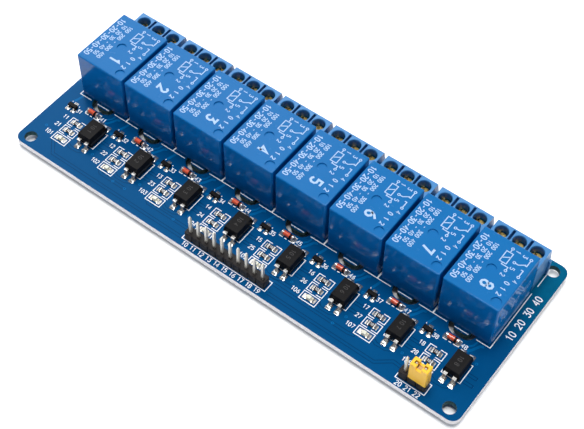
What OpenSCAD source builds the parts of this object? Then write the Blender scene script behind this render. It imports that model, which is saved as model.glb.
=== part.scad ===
// Relay module board with eight channels.
//
// A blue printed circuit board carries eight sealed relays. Each relay has a
// three-way screw terminal block behind it, along the board's back edge, and
// an opto-isolated driver stage in front of it: optocoupler, transistor,
// flyback diode, two resistors and an LED. A ten-pin input header and a
// three-pin supply header with its jumper stand at the front edge.
//
// Units are millimetres. +X runs along the board, +Y towards the terminals and
// +Z up. The origin is the centre of the four mounting holes, on the board's
// underside, where stand-offs meet it.

/* [Board] */
// Length of the board
board_l = 140; // [139:0.5:144]
// Width of the board
board_w = 53.5; // [53:0.5:56]
// Thickness of the board
board_t = 1.6; // [1.2:0.2:2]
// Radius of the board's corners
corner_r = 2.5; // [1.5:0.5:3]
// Diameter of the mounting holes
hole_d = 3.5; // [3:0.1:3.6]
// Mounting hole centre to the short edge
hole_inset_x = 3.5; // [3.2:0.1:4]
// Mounting hole centre to the long edge
hole_inset_y = 2.9; // [2.8:0.1:3.2]

/* [Channels] */
// Distance from one channel to the next
channel_pitch = 16.5; // [16.4:0.1:16.8]
// Middle of the row of channels, from the middle of the board
row_shift = -0.3; // [-0.6:0.1:0]

/* [Relays] */
// Width of a relay case
relay_w = 15.6; // [15.2:0.1:15.8]
// Depth of a relay case
relay_d = 19; // [18.8:0.1:19.2]
// Height of a relay above the board
relay_h = 15.4; // [15.2:0.1:15.8]
// Front face of the relays, from the middle of the board
relay_front = -4; // [-4.2:0.1:-3.8]
// Thickness of the case wall
case_wall = 0.8; // [0.7:0.05:0.9]
// Swing of the armature from released to pulled in, in degrees
armature_swing = 3.2; // [2.8:0.1:3.2]

/* [Terminal blocks] */
// Distance between the poles of a block
pole_pitch = 5.08; // [5:0.04:5.08]
// Depth of a block
term_d = 7.8; // [7.6:0.1:8]
// Height of a block above the board
term_h = 10.1; // [10:0.1:10.6]
// Front face of the blocks, from the middle of the board
term_front = 15.4; // [15.3:0.1:15.6]
// Diameter of the screwdriver wells
well_d = 3.6; // [3.5:0.1:3.8]

/* [Headers] */
// Distance between header pins
pin_pitch = 2.54; // [2.54]
// Width across a square header pin
pin_w = 0.64; // [0.6:0.02:0.64]
// Middle line of both headers, from the middle of the board
header_y = -23.1; // [-23.3:0.1:-22.9]
// Height of the jumper
jumper_h = 6.4; // [6:0.1:6.6]

/* [Hidden] */
channels = 8;
poles = 3;
input_pins = 10;
power_pins = 3;
$fn = 48;
eps = 0.5;        // how far a cutter runs past the face it opens

// Places of the driver parts, from a channel's centre line
diode_at = [-0.3, -8.05];
transistor_at = [-6.5, -9.4];
resistor_at = [-1.6, -13.4];
led_at = [-1.6, -19.65];
opto_at = [4.9, -14.1];
row_step = 3.13;  // from one resistor to the next, towards the front
input_x = -0.3;   // middle of the input header
power_x = 55.9;   // middle of the supply header

// Relay leads, from the middle of the relay's front edge
com_lead = [0, 2.4];
coil_lead = [6, 4.4];
contact_lead = [6, relay_d - 2.4];
relay_lead_w = 1;
relay_lead_t = 0.5;
relay_tail = 1.4;          // below the board
base_top = 1.75;           // relay base, above the board
case_foot = 0.25;          // gap under the case
yoke_t = 1.1;
yoke_w = 10;
yoke_front = 2;            // outer face of the yoke's upright
yoke_foot = 2;             // underside of the yoke's foot
pole_face = 10.6;          // top of core and upright
core_at = 8;               // core centre, from the relay's front
core_r = 2.6;
armature_t = 0.9;
armature_gap = 0.05;       // left over the pole face when pulled in
armature_end = 12.6;
leaf_t = 0.2;
leaf_w = 3.2;
rivet_at = 15.4;           // moving contact, from the relay's front
rivet_r = 1.05;
rivet_top = 0.4;
rivet_under = 0.3;
ejector_marks = [[-0.1, -0.2], [5.7, -7.5]];   // from the middle of the case's top
ejector_d = 2.6;
ejector_sink = 0.35;

// Milled slot that isolates the common lead of a relay
slot_w = 1.4;
slot_half = 3.1;           // slot's middle line to the relay's centre line
slot_reach = 2.5;          // how far it comes out in front of the relay
slot_len = 7;

// Inside of a terminal block, above the board
pole_y = 4.2;              // from the block's front face
term_w = poles * pole_pitch;
chamber_w = 4;
chamber_d = 4.1;
chamber_floor = 1;
clamp_top = 6.5;
lug_t = 0.6;
screw_r = 1.25;
head_h = 1.1;
web_slit = [0.75, 4, 3.2];   // slit in the web between two wells
term_tail = 1.6;           // lead below the board
term_lead = [1, 0.8];

strip_h = 2.54;
header_pin_h = 8.7;        // above the board
header_tail = 1.6;
jumper_gap = 0.04;         // between the jumper's clip and a pin

pcb_blue = [0.02, 0.33, 0.58];
relay_blue = [0.16, 0.5, 0.82];
term_blue = [0.3, 0.62, 0.96];
black = [0.1, 0.1, 0.11];
tin = [0.8, 0.8, 0.8];
brass = [0.85, 0.72, 0.42];
steel = [0.66, 0.67, 0.69];
copper = [0.75, 0.4, 0.22];
cream = [0.9, 0.88, 0.8];

EACH = ["relay_case", "relay_armature", "relay_moving_contact", "terminal_housing"];

// ---------------------------------------------------------------- helpers

function channel_x(i) = row_shift + (i - (channels + 1) / 2) * channel_pitch;
function pole_x(k) = (k - (poles - 1) / 2) * pole_pitch;
function pin_x(k, count) = (k - (count - 1) / 2) * pin_pitch;

module at_channel(i, y = 0, z = board_t) { translate([channel_x(i), y, z]) children(); }
module at_relay(i) { at_channel(i, relay_front) children(); }
module at_terminal(i) { at_channel(i, term_front) children(); }
module each_relay() { for (i = [1:channels]) at_relay(i) children(); }
module each_pole() {
    for (i = [1:channels], k = [0:poles - 1])
        at_terminal(i) translate([pole_x(k), pole_y]) children();
}
module both_sides() {
    children();
    mirror([1, 0, 0]) children();
}

// Flat rectangle about the origin with true arcs at its corners
module rounded_rect(l, w, r) {
    square([l - 2 * r, w], center = true);
    square([l, w - 2 * r], center = true);
    for (sx = [-1, 1], sy = [-1, 1]) translate([sx * (l / 2 - r), sy * (w / 2 - r)]) circle(r);
}

// Upright outline on the X axis, with only its upper corners rounded
module crowned(w, h, r) {
    translate([-w / 2, 0]) square([w, h - r]);
    translate([r - w / 2, 0]) square([w - 2 * r, h]);
    for (s = [-1, 1]) translate([s * (w / 2 - r), h - r]) circle(r);
}

// A profile drawn in Y and Z, given thickness along X about the middle
module across(width) {
    translate([-width / 2, 0]) rotate([90, 0, 90]) linear_extrude(width) children();
}

// A profile drawn in X and Z, given thickness along Y about the middle
module along(depth) {
    translate([0, depth / 2]) rotate([90, 0, 0]) linear_extrude(depth) children();
}

// Plate standing on the XY plane about the origin
module plate(w, d, h) { translate([-w / 2, -d / 2]) cube([w, d, h]); }

// Moulded body with draft above and below its parting line
module moulded(w, d, z0, part, h, draft) {
    intersection() {
        along(d) hexagon(w, z0, part, h, draft);
        across(w) hexagon(d, z0, part, h, draft);
    }
}
module hexagon(w, z0, part, h, draft) {
    polygon([[-w / 2 + draft, z0], [w / 2 - draft, z0], [w / 2, part],
             [w / 2 - draft, h], [-w / 2 + draft, h], [-w / 2, part]]);
}

// Bent lead that leaves a body at height z, steps down and ends in a foot
module gull_wing(start, knee, foot, z, t, width) {
    across(width) polygon([[start, z], [knee + t, z], [knee + t, t], [foot, t], [foot, 0],
                           [knee, 0], [knee, z - t], [start, z - t]]);
}

// ---------------------------------------------------------------- board

module isolation_slot() {
    reach = relay_front - slot_reach;
    bend = slot_half - 1;
    difference() {
        tongue(slot_half + slot_w / 2, bend + slot_w / 2, reach);
        tongue(slot_half - slot_w / 2, bend - slot_w / 2, reach + slot_w);
    }
    for (s = [-1, 1]) translate([s * slot_half, reach + slot_len]) circle(slot_w / 2);
}

// Round-nosed outline that starts at y0 and ends flat at the slot's length
module tongue(half, r, y0) {
    top = relay_front - slot_reach + slot_len;
    translate([-half, y0 + r]) square([2 * half, top - y0 - r]);
    translate([r - half, y0]) square([2 * (half - r), r + eps]);
    for (s = [-1, 1]) translate([s * (half - r), y0 + r]) circle(r);
}

module mounting_holes() {
    for (sx = [-1, 1], sy = [-1, 1])
        translate([sx * (board_l / 2 - hole_inset_x), sy * (board_w / 2 - hole_inset_y)])
            circle(d = hole_d);
}

module relay_lead_places() {
    translate(com_lead) children();
    for (s = [-1, 1], p = [coil_lead, contact_lead]) translate([s * p.x, p.y]) children();
}

module header_places(x, count) {
    for (k = [0:count - 1]) translate([x + pin_x(k, count), header_y]) children();
}

module pcb() {
    color(pcb_blue) linear_extrude(board_t) difference() {
        rounded_rect(board_l, board_w, corner_r);
        mounting_holes();
        for (i = [1:channels]) translate([channel_x(i), 0]) {
            isolation_slot();
            translate([0, relay_front]) relay_lead_places() circle(d = 1.3);
            for (k = [0:poles - 1]) translate([pole_x(k), term_front + pole_y]) circle(d = 1.5);
        }
        header_places(input_x, input_pins) circle(d = 1);
        header_places(power_x, power_pins) circle(d = 1);
    }
}

// One joint: a waisted cone that climbs the lead from its pad
module solder_cone(pad_r, neck_r, h) {
    rotate_extrude() polygon([[0, 0], [pad_r, 0], [pad_r * 0.6 + neck_r * 0.4, -h * 0.25],
                              [neck_r * 1.1, -h * 0.6], [neck_r, -h], [0, -h]]);
}

module solder_joints() {
    color(tin) {
        each_relay_below() relay_lead_places() difference() {
            solder_cone(1.3, 0.7, 1);
            translate([0, 0, -relay_tail]) plate(relay_lead_w, relay_lead_t, relay_tail);
        }
        each_pole() translate([0, 0, -board_t]) difference() {
            solder_cone(1.4, 0.8, 1.1);
            translate([0, 0, -term_tail]) plate(term_lead.x, term_lead.y, term_tail);
        }
        for (row = [[input_x, input_pins], [power_x, power_pins]])
            header_places(row[0], row[1]) difference() {
                solder_cone(0.9, 0.55, 1);
                translate([0, 0, -header_tail]) plate(pin_w, pin_w, header_tail);
            }
    }
}
module each_relay_below() { for (i = [1:channels]) at_channel(i, relay_front, 0) children(); }

// ---------------------------------------------------------------- relays

// Deep-drawn cover: rounded along every upper edge, open underneath
module relay_case(i) {
    body_h = relay_h - case_foot;
    color(relay_blue) at_relay(i) translate([0, relay_d / 2, case_foot]) difference() {
        intersection() {
            linear_extrude(body_h) rounded_rect(relay_w, relay_d, 0.6);
            along(relay_d) crowned(relay_w, body_h, 0.4);
            across(relay_w) crowned(relay_d, body_h, 0.4);
        }
        translate([0, 0, -eps]) linear_extrude(body_h - case_wall + eps)
            rounded_rect(relay_w - 2 * case_wall, relay_d - 2 * case_wall, 0.3);
        for (p = ejector_marks)
            translate([p.x, p.y, body_h - ejector_sink]) cylinder(d = ejector_d, h = 1);
    }
}

// Bottom plate that closes the case, on four feet, with slits for the leads
module relay_bases() {
    inner = [relay_w - 2 * case_wall - 0.1, relay_d - 2 * case_wall - 0.1];
    color(black) each_relay() difference() {
        union() {
            translate([0, relay_d / 2, case_foot])
                linear_extrude(base_top - case_foot) rounded_rect(inner.x, inner.y, 0.25);
            for (sx = [-1, 1], y = [1.8, relay_d - 1.8])
                translate([sx * 4.7, y]) cylinder(r = 0.6, h = case_foot + 0.1);
        }
        relay_lead_places() translate([0, 0, -eps]) plate(relay_lead_w, relay_lead_t, 3);
    }
}

// L-shaped iron: an upright at the front and a foot that carries the core
module relay_yokes() {
    color(steel) each_relay() difference() {
        across(yoke_w) polygon([[yoke_front, yoke_foot], [12.4, yoke_foot], [12.4, yoke_foot + yoke_t],
                                [yoke_front + yoke_t, yoke_foot + yoke_t],
                                [yoke_front + yoke_t, pole_face], [yoke_front, pole_face]]);
        translate([0, core_at, yoke_foot - eps]) cylinder(r = core_r - 0.6, h = yoke_t + 2 * eps);
    }
}

// Core: a spigot riveted into the yoke's foot, a stem and a wider pole shoe
module relay_cores() {
    color(steel) each_relay() translate([0, core_at]) rotate_extrude() polygon([
        [0, yoke_foot], [core_r - 0.6, yoke_foot], [core_r - 0.6, yoke_foot + yoke_t],
        [core_r, yoke_foot + yoke_t], [core_r, pole_face - 0.7], [3.5, pole_face - 0.7],
        [3.5, pole_face], [0, pole_face]]);
}

// Flanged spool, with ears at the front that hold the two coil leads
module relay_bobbins() {
    floor_z = yoke_foot + yoke_t;
    flange = 0.7;
    top_z = pole_face - 0.7;
    color(cream) each_relay() difference() {
        union() {
            translate([0, core_at, floor_z]) cylinder(r = core_r + 0.6, h = top_z - floor_z);
            for (z = [floor_z, top_z - flange])
                translate([0, core_at, z]) linear_extrude(flange) rounded_rect(11, 9.6, 1);
            both_sides() translate([coil_lead.x, coil_lead.y, base_top])
                plate(1.7, 1.6, floor_z + flange - base_top);
        }
        translate([0, core_at, floor_z - eps]) cylinder(r = core_r, h = top_z - floor_z + 2 * eps);
        both_sides() translate([coil_lead.x, coil_lead.y, base_top - eps])
            plate(relay_lead_w, relay_lead_t, 1.5 + eps);
    }
}

module relay_windings() {
    low = yoke_foot + yoke_t + 0.7;
    high = pole_face - 1.4;
    color(copper) each_relay() translate([0, core_at, low]) difference() {
        cylinder(r = 4.7, h = high - low);
        translate([0, 0, -eps]) cylinder(r = core_r + 0.6, h = high - low + 2 * eps);
    }
}

// Turns its children from the pulled-in place to the released one
module released() {
    translate([0, yoke_front, pole_face + armature_gap]) rotate([armature_swing, 0, 0])
        translate([0, -yoke_front, 0]) children();
}

// Flat iron on the yoke's upright; its waist takes the contact leaf
module relay_armature(i) {
    length = armature_end - yoke_front;
    color(steel) at_relay(i) released()
        translate([0, yoke_front]) linear_extrude(armature_t) difference() {
            translate([-yoke_w / 2, 0]) square([yoke_w, length]);
            both_sides() translate([yoke_w / 2 + 0.4, 2.4]) circle(r = 1.2);
            both_sides() translate([yoke_w / 2, length]) circle(r = 1.5);
        }
}

// Spring leaf with its double-headed contact, bent down in front of the yoke
module relay_moving_contact(i) {
    color(brass) at_relay(i) {
        released() {
            translate([-leaf_w / 2, yoke_front - 0.4, armature_t])
                cube([leaf_w, rivet_at + 1.3 - yoke_front + 0.4, leaf_t]);
            translate([0, rivet_at, armature_t - rivet_under])
                cylinder(r = rivet_r, h = rivet_under + leaf_t + rivet_top);
            for (y = [5.2, 10.6]) translate([0, y, armature_t]) cylinder(r = 0.7, h = leaf_t + 0.3);
        }
        top = pole_face + armature_gap + armature_t + leaf_t;
        translate([0, yoke_front - 0.3, 5.4]) plate(leaf_w, leaf_t, top - 5.4 - 0.02);
    }
}

// Fixed contacts: two stamped posts whose tabs reach in over and under the leaf
module relay_fixed_contacts() {
    closed_face = pole_face + armature_gap + armature_t - rivet_under;
    arm = rivet_at - yoke_front + rivet_r;
    head = armature_t + leaf_t + rivet_top;
    open_face = pole_face + armature_gap + arm * sin(armature_swing) + head * cos(armature_swing);
    button = 0.35;
    gap = 0.03;
    color(brass) each_relay() {
        contact_post(1, closed_face - gap - button - 0.45);
        translate([0, rivet_at, closed_face - gap - button]) cylinder(r = 1.1, h = button);
        contact_post(-1, open_face + gap + button);
        translate([0, rivet_at, open_face + gap]) cylinder(r = 1.1, h = button);
    }
}

module contact_post(side, z) {
    tab = 0.45;
    x = side * contact_lead.x;
    translate([x, contact_lead.y, -board_t - relay_tail])
        plate(relay_lead_w, relay_lead_t, z + tab + board_t + relay_tail);
    translate([side > 0 ? -1.2 : x - relay_lead_w / 2, rivet_at - 1.2, z])
        cube([abs(x) + relay_lead_w / 2 + 1.2, contact_lead.y + relay_lead_t / 2 - rivet_at + 1.2, tab]);
}

// Common lead up to the yoke, and the two coil leads up into the bobbin's ears
module relay_leads() {
    low = -board_t - relay_tail;
    color(tin) each_relay() {
        translate([com_lead.x, com_lead.y, low]) plate(relay_lead_w, relay_lead_t, yoke_foot - low);
        both_sides() translate([coil_lead.x, coil_lead.y, low])
            plate(relay_lead_w, relay_lead_t, base_top + 1.5 - low);
    }
}

// ---------------------------------------------------------------- terminal blocks

// Housing: the wire side slopes back above the wire mouths. Each pole has a
// screwdriver well, a chamber for its clamp and a flared mouth.
module terminal_housing(i) {
    color(term_blue) at_terminal(i) difference() {
        union() {
            across(term_w) polygon([[0, 0], [term_d, 0], [term_d, 5.9], [term_d - 0.9, term_h - 0.15],
                                    [term_d - 1.05, term_h], [0.15, term_h], [0, term_h - 0.15]]);
            translate([term_w / 2, term_d - 0.9]) dovetail(0.6, 1, 5.6);
        }
        translate([-term_w / 2, term_d - 0.9, -eps]) dovetail(0.6, 1.15, 5.6 + eps);
        for (k = [0:poles - 1]) translate([pole_x(k), pole_y]) pole_cavity();
        for (k = [1:poles - 1])
            translate([pole_x(k) - pole_pitch / 2, pole_y + 0.2, term_h - web_slit.z])
                plate(web_slit.x, web_slit.y, web_slit.z + eps);
        underside_relief();
    }
}

// Rail of one block and groove of the next, widest away from the root
module dovetail(reach, width, h) {
    linear_extrude(h) polygon([[-0.01, -width * 0.35], [reach, -width / 2], [reach, width / 2],
                               [-0.01, width * 0.35]]);
}

module pole_cavity() {
    mouth = term_d - pole_y;
    translate([0, 0, clamp_top]) cylinder(d = well_d, h = term_h);
    translate([0, 0, term_h - 0.15]) cylinder(d1 = well_d, d2 = well_d + 0.4, h = 0.2);
    translate([0, 0, chamber_floor]) plate(chamber_w, chamber_d, clamp_top - chamber_floor + 0.05);
    across(3.5) polygon([[0, 1.5], [mouth - 0.6, 1.5], [mouth + 0.1, 1.1], [mouth + 0.1, 5.9],
                         [mouth - 0.6, 5.5], [0, 5.5]]);
    translate([0, 0, -eps]) plate(term_lead.x, term_lead.y, chamber_floor + 2 * eps);
}

// The block stands on its ends and on a rib between the poles
module underside_relief() {
    for (k = [0:poles - 1])
        translate([pole_x(k), term_d / 2, -eps]) linear_extrude(0.3 + eps)
            rounded_rect(pole_pitch - 1.2, term_d - 1.4, 0.5);
}

// Slotted cheese-head screws
module terminal_screws() {
    head_r = well_d / 2 - 0.1;
    color(brass) each_pole() translate([0, 0, clamp_top]) difference() {
        rotate_extrude() polygon([[0, -3.2], [screw_r - 0.3, -3.2], [screw_r, -2.9], [screw_r, 0],
                                  [head_r, 0], [head_r, head_h - 0.25], [head_r - 0.3, head_h],
                                  [0, head_h]]);
        rotate([0, 0, 35]) translate([0, 0, head_h - 0.6]) plate(0.55, 2 * head_r + 1, 0.6 + eps);
    }
}

// Stirrups: a threaded roof on two legs
module terminal_clamps() {
    foot = chamber_floor + lug_t;
    w = chamber_w - 0.2;
    color(brass) each_pole() difference() {
        along(chamber_d - 0.3) polygon([
            [-w / 2, foot], [-w / 2 + 0.6, foot], [-w / 2 + 0.6, clamp_top - 1.1],
            [w / 2 - 0.6, clamp_top - 1.1], [w / 2 - 0.6, foot], [w / 2, foot],
            [w / 2, clamp_top], [-w / 2, clamp_top]]);
        translate([0, 0, clamp_top - 1.1 - eps]) cylinder(r = screw_r, h = 1.1 + 2 * eps);
    }
}

// Lug on the chamber's floor and its lead down through the board
module terminal_leads() {
    color(tin) each_pole() {
        translate([0, 0, chamber_floor]) plate(chamber_w - 0.2, chamber_d - 0.3, lug_t);
        translate([0, 0, -board_t - term_tail])
            plate(term_lead.x, term_lead.y, board_t + term_tail + chamber_floor);
    }
}

// ---------------------------------------------------------------- driver parts

module each_driver(at) { for (i = [1:channels]) at_channel(i) translate(at) children(); }

module optocoupler_bodies() {
    color(black) each_driver(opto_at) difference() {
        moulded(4.6, 6.5, 0.15, 1.9, 3.55, 0.3);
        translate([-1.4, -2.3, 3.45]) cylinder(r = 0.4, h = eps);
    }
}

module optocoupler_leads() {
    color(tin) each_driver(opto_at) for (x = [-1.27, 1.27], turn = [0, 180])
        rotate([0, 0, turn]) translate([x, 0]) gull_wing(3.25, 3.85, 4.85, 2, 0.25, 1);
}

module transistor_bodies() {
    color(black) each_driver(transistor_at) moulded(2.9, 1.3, 0.1, 0.55, 1.05, 0.12);
}

module transistor_leads() {
    color(tin) each_driver(transistor_at) {
        gull_wing(0.65, 0.8, 1.3, 0.6, 0.12, 0.42);
        for (x = [-0.95, 0.95]) translate([x, 0]) rotate([0, 0, 180])
            gull_wing(0.65, 0.8, 1.3, 0.6, 0.12, 0.42);
    }
}

diode_l = 3.5;
diode_r = 0.72;
cap_l = 0.45;

module lying(r, l) { translate([-l / 2, 0, diode_r + 0.03]) rotate([0, 90, 0]) cylinder(r = r, h = l); }

module diode_glass() { color(copper) each_driver(diode_at) lying(diode_r - 0.04, diode_l - 2 * cap_l); }

module diode_caps() {
    color(tin) each_driver(diode_at) for (s = [-1, 1])
        translate([s * (diode_l - cap_l) / 2, 0]) lying(diode_r + 0.03, cap_l);
}

chip = [2, 1.25, 0.5];
chip_end = 0.35;
skin = 0.03;

module each_resistor() {
    for (row = [0, 1]) each_driver([resistor_at.x, resistor_at.y - row * row_step]) children();
}

module resistor_chips() {
    color(black) each_resistor()
        translate([0, 0, skin]) plate(chip.x - 2 * skin, chip.y - 2 * skin, chip.z - 2 * skin);
}

// Plated ends that wrap over the chip's top, sides and bottom
module resistor_terminations() {
    color(tin) each_resistor() difference() {
        for (s = [-1, 1]) translate([s * (chip.x - chip_end) / 2, 0]) plate(chip_end, chip.y, chip.z);
        translate([0, 0, skin]) plate(chip.x - 2 * skin, chip.y - 2 * skin, chip.z - 2 * skin);
    }
}

// LED: a small board with half-round plated ends under a clear moulded lens
module led_bodies() {
    color(cream) each_driver(led_at) difference() {
        plate(chip.x, chip.y, 0.35);
        both_sides() translate([chip.x / 2, 0, -eps]) cylinder(r = 0.3, h = 0.35 + 2 * eps);
    }
}

module led_lenses() {
    color(cream) each_driver(led_at) intersection() {
        along(chip.y) polygon([[-0.62, 0.35], [0.62, 0.35], [0.5, 0.85], [-0.5, 0.85]]);
        across(chip.x) polygon([[-0.58, 0.35], [0.58, 0.35], [0.5, 0.85], [-0.5, 0.85]]);
    }
}

// ---------------------------------------------------------------- headers

// Strip of square cells whose corners are cut, so that a notch parts each pair
module header_strip(x, count) {
    cut = 0.3;
    half = pin_pitch / 2;
    color(black) translate([x, header_y, board_t]) difference() {
        linear_extrude(strip_h) for (k = [0:count - 1]) translate([pin_x(k, count), 0]) polygon([
            [-half, cut - half], [cut - half, -half], [half - cut, -half], [half, cut - half],
            [half, half - cut], [half - cut, half], [cut - half, half], [-half, half - cut]]);
        for (k = [0:count - 1]) translate([pin_x(k, count), 0, -eps])
            plate(pin_w, pin_w, strip_h + 2 * eps);
        across(pin_pitch * count + 1) polygon([[-0.6, -eps], [0.6, -eps], [0.6, 0.3], [-0.6, 0.3]]);
    }
}

// Square pins, drawn to a blunt point at both ends
module header_pins(x, count) {
    half = pin_w / 2;
    low = -board_t - header_tail;
    color(tin) translate([0, 0, board_t]) header_places(x, count) intersection() {
        along(pin_w) pin_outline(half, low);
        across(pin_w) pin_outline(half, low);
    }
}
module pin_outline(half, low) {
    point = 0.5;
    tip = half * 0.45;
    polygon([[-half, low + point / 2], [-tip, low], [tip, low], [half, low + point / 2],
             [half, header_pin_h - point], [tip, header_pin_h], [-tip, header_pin_h],
             [-half, header_pin_h - point]]);
}

module input_header_strip() { header_strip(input_x, input_pins); }
module input_header_pins() { header_pins(input_x, input_pins); }
module power_header_strip() { header_strip(power_x, power_pins); }
module power_header_pins() { header_pins(power_x, power_pins); }

jumper_w = 2 * pin_pitch - 0.08;
jumper_d = 2.5;
jumper_grip = 1.5;   // width of the notch across the top
clip_t = 0.2;

// The jumper sits on the second and third supply pins
module at_jumper() {
    translate([power_x + pin_pitch / 2, header_y, board_t + strip_h]) children();
}

// Open-topped cap: a notch across the middle, a slit along the top
module jumper_housing() {
    inner_d = pin_w + 2 * (jumper_gap + clip_t) + 0.04;
    color("gold") at_jumper() difference() {
        intersection() {
            linear_extrude(jumper_h) rounded_rect(jumper_w, jumper_d, 0.3);
            along(jumper_d) crowned(jumper_w, jumper_h, 0.3);
        }
        translate([0, 0, -eps]) plate(jumper_w - 1, inner_d, jumper_h - 0.7 + eps);
        translate([0, 0, jumper_h - 1.3]) plate(jumper_grip, jumper_d + 1, 2);
        translate([0, 0, jumper_h - 1]) plate(jumper_w - 1.6, 0.4, 2);
        for (s = [-1, 1]) translate([s * pin_pitch / 2, 0, jumper_h - 1]) plate(0.9, 0.9, 2);
    }
}

// Bent metal strip: two cheeks that grip both pins, joined by a bridge
module jumper_clip() {
    inner = pin_w / 2 + jumper_gap;
    top = jumper_h - 1.35;
    color(brass) at_jumper() {
        for (s = [-1, 1]) translate([0, s * (inner + clip_t / 2), 0.5])
            plate(jumper_w - 1.2, clip_t, top - 0.5);
        translate([0, 0, top - clip_t]) plate(1.3, 2 * inner + clip_t, clip_t);
    }
}

// ---------------------------------------------------------------- parts by name

pcb();
for (i = [1:channels]) {
    relay_case(i);
    relay_armature(i);
    relay_moving_contact(i);
    terminal_housing(i);
}
relay_bases();
relay_bobbins();
relay_windings();
relay_cores();
relay_yokes();
relay_fixed_contacts();
relay_leads();
terminal_screws();
terminal_clamps();
terminal_leads();
optocoupler_bodies();
optocoupler_leads();
transistor_bodies();
transistor_leads();
diode_glass();
diode_caps();
resistor_chips();
resistor_terminations();
led_bodies();
led_lenses();
input_header_strip();
input_header_pins();
power_header_strip();
power_header_pins();
jumper_housing();
jumper_clip();
solder_joints();
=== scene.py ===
# %% [markdown]
# # Dressing a relay module board
#
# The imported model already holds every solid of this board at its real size: the
# laminate, eight relays with their mechanism inside, eight terminal blocks, the small
# driver parts and two pin headers. What it lacks is what makes such a board look real:
# solder mask and etched copper, white print, fillets of solder, moulded plastic and
# tinned metal. This script adds those around the fixed frame, and never moves a solid.

import math

import bmesh
import bpy
from mathutils import Matrix, Vector


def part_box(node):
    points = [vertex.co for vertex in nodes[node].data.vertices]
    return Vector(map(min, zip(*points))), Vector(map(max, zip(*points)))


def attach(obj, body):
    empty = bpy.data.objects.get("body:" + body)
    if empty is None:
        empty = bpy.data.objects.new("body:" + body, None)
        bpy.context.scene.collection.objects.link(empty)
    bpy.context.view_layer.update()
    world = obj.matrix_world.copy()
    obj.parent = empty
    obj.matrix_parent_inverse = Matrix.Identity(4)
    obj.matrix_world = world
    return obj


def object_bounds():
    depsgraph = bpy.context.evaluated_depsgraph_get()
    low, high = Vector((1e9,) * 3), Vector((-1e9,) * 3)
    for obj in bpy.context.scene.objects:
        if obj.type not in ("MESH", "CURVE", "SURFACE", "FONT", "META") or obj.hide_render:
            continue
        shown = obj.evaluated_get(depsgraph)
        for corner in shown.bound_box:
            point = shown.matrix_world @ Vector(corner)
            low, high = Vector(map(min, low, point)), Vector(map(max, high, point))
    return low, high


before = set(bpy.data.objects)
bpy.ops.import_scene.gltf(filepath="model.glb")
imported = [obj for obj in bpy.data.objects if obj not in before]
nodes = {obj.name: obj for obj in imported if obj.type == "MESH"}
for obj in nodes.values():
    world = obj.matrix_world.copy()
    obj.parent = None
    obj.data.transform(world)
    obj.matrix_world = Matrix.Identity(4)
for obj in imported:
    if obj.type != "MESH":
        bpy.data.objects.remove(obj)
cad_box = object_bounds()

# %% [markdown]
# Every place is read from the solids' boxes, so the dressing still fits if the board
# changes. Lengths are in millimetres here, as on the board's own drawing, and turn into
# metres only when a mesh is made.

# %% Where things are
MM = 0.001
CHANNELS = range(1, 9)


def corners(node):
    """Lowest and highest corner of a solid's box, in millimetres."""
    low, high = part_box(node)
    return low / MM, high / MM


def middle(node):
    """Centre of a solid's box, in millimetres."""
    low, high = corners(node)
    return (low + high) / 2


channel_x = [middle(f"relay_case_{i}").x for i in CHANNELS]
pitch = channel_x[1] - channel_x[0]
board_low, board_high = corners("pcb")
board_half = (board_high - board_low) / 2
top = board_high.z
print(f"channels {pitch:.1f} mm apart, board top at {top:.1f} mm")

# %% [markdown]
# ## Camera
#
# A long lens from a third of a metre keeps the board's edges nearly parallel, as product
# pictures do. The camera stands to the front right of the board, looks down at 54
# degrees and is turned by a degree and a half about its own axis. Its three axes are
# worked out from those angles and become the columns of its rotation, which says more
# than three Euler numbers do.

# %% Camera
azimuth, elevation, roll = map(math.radians, (35.62, 54.21, 1.59))
back = Vector((math.sin(azimuth) * math.cos(elevation),
               -math.cos(azimuth) * math.cos(elevation), math.sin(elevation)))
level = Vector((math.cos(azimuth), math.sin(azimuth), 0))
raised = back.cross(level)
right = level * math.cos(roll) + raised * math.sin(roll)
up = raised * math.cos(roll) - level * math.sin(roll)

camera = bpy.data.objects.new("camera", bpy.data.cameras.new("camera"))
bpy.context.scene.collection.objects.link(camera)
bpy.context.scene.camera = camera
camera.data.sensor_width = 36
camera.data.lens = 80.4  # a medium telephoto on that sensor
camera.data.clip_start = 0.01
camera.data.clip_end = 20
camera.rotation_mode = "QUATERNION"
camera.rotation_quaternion = Matrix((right, up, back)).transposed().to_quaternion()
aside, lowered, distance = 2.24, 3.32, 337.1
stand = Vector((0, 0, top)) + aside * right - lowered * up + distance * back
camera.location = stand * MM
print(f"camera {stand.length:.0f} mm from the board's middle")

# %% [markdown]
# ## Studio
#
# The board lies on a pale sweep under one large, soft light almost straight above, so
# that tops are bright and the faces towards the camera stay deep blue. A strong light
# must not stand where the board's gloss would mirror it into the lens, which is behind
# and to the left. Only a weak and very wide one stands there, for the sheen on the tops,
# with a small panel near the left back corner, where the sheen is strongest. A low light
# from the left puts an edge of light on leads and pins. Sun lamps serve better than area
# lamps here: their light doesn't fall off, so the floor stays evenly white right to the
# picture's edge, and a wide angle softens their shadows.

# %% Studio
def lamp(name, towards, strength, spread):
    """A soft sun that shines along a direction."""
    data = bpy.data.lights.new(name, "SUN")
    data.energy = strength
    data.angle = math.radians(spread)
    sun = bpy.data.objects.new(name, data)
    sun.rotation_mode = "QUATERNION"
    sun.rotation_quaternion = Vector(towards).normalized().to_track_quat("-Z", "Y")
    bpy.context.scene.collection.objects.link(sun)


lamp("broad_light", (0.03, -0.02, -1), 3.0, 32)
lamp("sheen_light", (0.34, -0.475, -0.81), 0.3, 60)
lamp("left_light", (1, -0.3, -0.6), 0.35, 30)

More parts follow.
